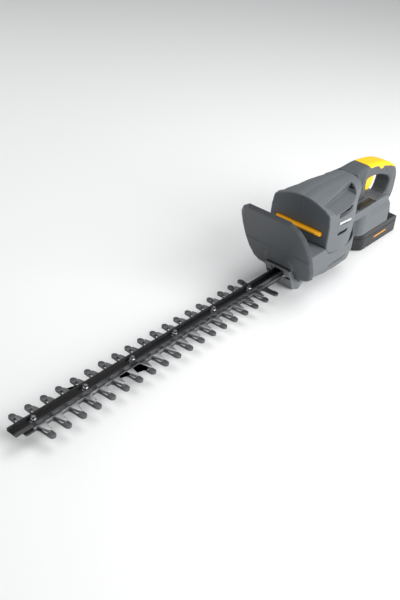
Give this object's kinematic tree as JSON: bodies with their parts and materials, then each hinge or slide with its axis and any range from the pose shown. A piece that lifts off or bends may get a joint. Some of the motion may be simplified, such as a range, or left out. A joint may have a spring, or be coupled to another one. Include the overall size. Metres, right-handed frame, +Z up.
{
  "type": "hedge trimmer",
  "caption": "Battery hedge trimmer with a long double-sided toothed blade, hand guard, front grip with switch bar, rear D handle and slide-on pack.",
  "frame": {"origin": "under the middle of the whole length, on the plane that the battery's base and the gear case's chin rest on", "axes": "+X forward to the blade tip, +Y to the user's left, +Z up"},
  "size_m": [0.9356, 0.1384, 0.1655],
  "materials": {
    "blade_steel": "ground",
    "bar_black": "gloss",
    "fastener_steel": "plated",
    "gear_steel": "machined",
    "bearing_steel": "polished",
    "case_alloy": "cast",
    "can_steel": "satin",
    "magnet_ferrite": "matte",
    "copper": "bright",
    "carbon": "matte",
    "guard_grey": "fine grain",
    "body_grey": "fine grain",
    "grip_grey": "fine grain",
    "dock_grey": "fine grain",
    "signal_yellow": "satin",
    "pack_black": "fine grain",
    "label": "satin film",
    "inner_plastic": "plain",
    "board_green": "satin",
    "spring_steel": "drawn",
    "cell_wrap": "film over metal",
    "lead_red": "insulation"
  },
  "bodies": {
    "body": {"tooth_comb": "blade_steel", "guide_bar": "bar_black", "blade_bolts": "fastener_steel", "blade_nuts": "fastener_steel", "lower_crank_bearing": "bearing_steel", "upper_crank_bearing": "bearing_steel", "gearcase": "case_alloy", "gearcase_cover": "case_alloy", "gearcase_screws": "fastener_steel", "motor_can": "can_steel", "motor_magnets": "magnet_ferrite", "motor_end_bell": "inner_plastic", "motor_front_bearing": "bearing_steel", "motor_rear_bearing": "bearing_steel", "carbon_brushes": "carbon", "hand_guard": "guard_grey", "guard_screws": "fastener_steel", "lower_housing": "body_grey", "housing_screws": "fastener_steel", "cowl_left": "body_grey", "cowl_right": "body_grey", "switch_bar_bracket": "inner_plastic", "switch_bar_springs": "spring_steel", "front_microswitch": "inner_plastic", "handle_left": "grip_grey", "handle_right": "grip_grey", "handle_screws": "fastener_steel", "handle_cap": "signal_yellow", "trigger_pin": "gear_steel", "trigger_switch": "inner_plastic", "trigger_spring": "spring_steel", "battery_dock": "dock_grey", "rating_plate": "label", "terminal_block": "inner_plastic", "control_board": "board_green", "board_components": "inner_plastic", "motor_leads": "lead_red"},
    "upper_blade": {"upper_blade": "blade_steel"},
    "lower_blade": {"lower_blade": "blade_steel"},
    "crank": {"crankshaft": "gear_steel", "drive_gear": "gear_steel", "upper_eccentric": "gear_steel", "lower_eccentric": "gear_steel"},
    "rotor": {"motor_shaft": "gear_steel", "armature": "can_steel", "commutator": "copper", "cooling_fan": "inner_plastic", "pinion": "gear_steel"},
    "front_bar": {"front_switch_bar": "signal_yellow"},
    "trigger": {"trigger": "signal_yellow"},
    "battery": {"battery_case": "pack_black", "battery_lid": "pack_black", "battery_cells": "cell_wrap", "cell_strips": "can_steel", "battery_board": "board_green", "battery_contacts": "copper", "release_spring": "spring_steel"},
    "release_button": {"release_button": "inner_plastic"}
  },
  "joints": [
    {"name": "upper_blade_slide", "type": "slide", "parent": "body", "child": "upper_blade", "axis": [1, 0, 0], "range_m": [-0.006, 0.006]},
    {"name": "lower_blade_slide", "type": "slide", "parent": "body", "child": "lower_blade", "axis": [1, 0, 0], "range_m": [-0.006, 0.006]},
    {"name": "crank_spin", "type": "hinge", "parent": "body", "child": "crank", "pos_m": [-0.14775, 0, 0.032], "axis": [0, 0, 1], "continuous": true},
    {"name": "rotor_spin", "type": "hinge", "parent": "body", "child": "rotor", "pos_m": [-0.18075, 0, 0.06], "axis": [0, 0, 1], "continuous": true},
    {"name": "front_bar_press", "type": "slide", "parent": "body", "child": "front_bar", "axis": [-1, 0, 0], "range_m": [0, 0.0035], "stiffness_N_per_m": 400, "springref_m": -0.002, "deforming": ["switch_bar_springs"]},
    {"name": "trigger_pull", "type": "hinge", "parent": "body", "child": "trigger", "pos_m": [-0.34075, 0, 0.139], "axis": [0, 1, 0], "range_deg": [0, 8], "stiffness_Nm_per_rad": 0.35, "springref_deg": -6.88, "deforming": ["trigger_spring"]},
    {"name": "battery_slide", "type": "slide", "parent": "body", "child": "battery", "axis": [-1, 0, 0], "range_m": [0, 0.1]},
    {"name": "release_button_press", "type": "slide", "parent": "battery", "child": "release_button", "axis": [0, 0, -1], "range_m": [0, 0.0025], "stiffness_N_per_m": 500, "springref_m": -0.002, "deforming": ["release_spring"]}
  ],
  "couplings": [
    {"joint": "lower_blade_slide", "follows": "upper_blade_slide", "ratio": -1},
    {"joint": "rotor_spin", "follows": "crank_spin", "ratio": -4}
  ]
}
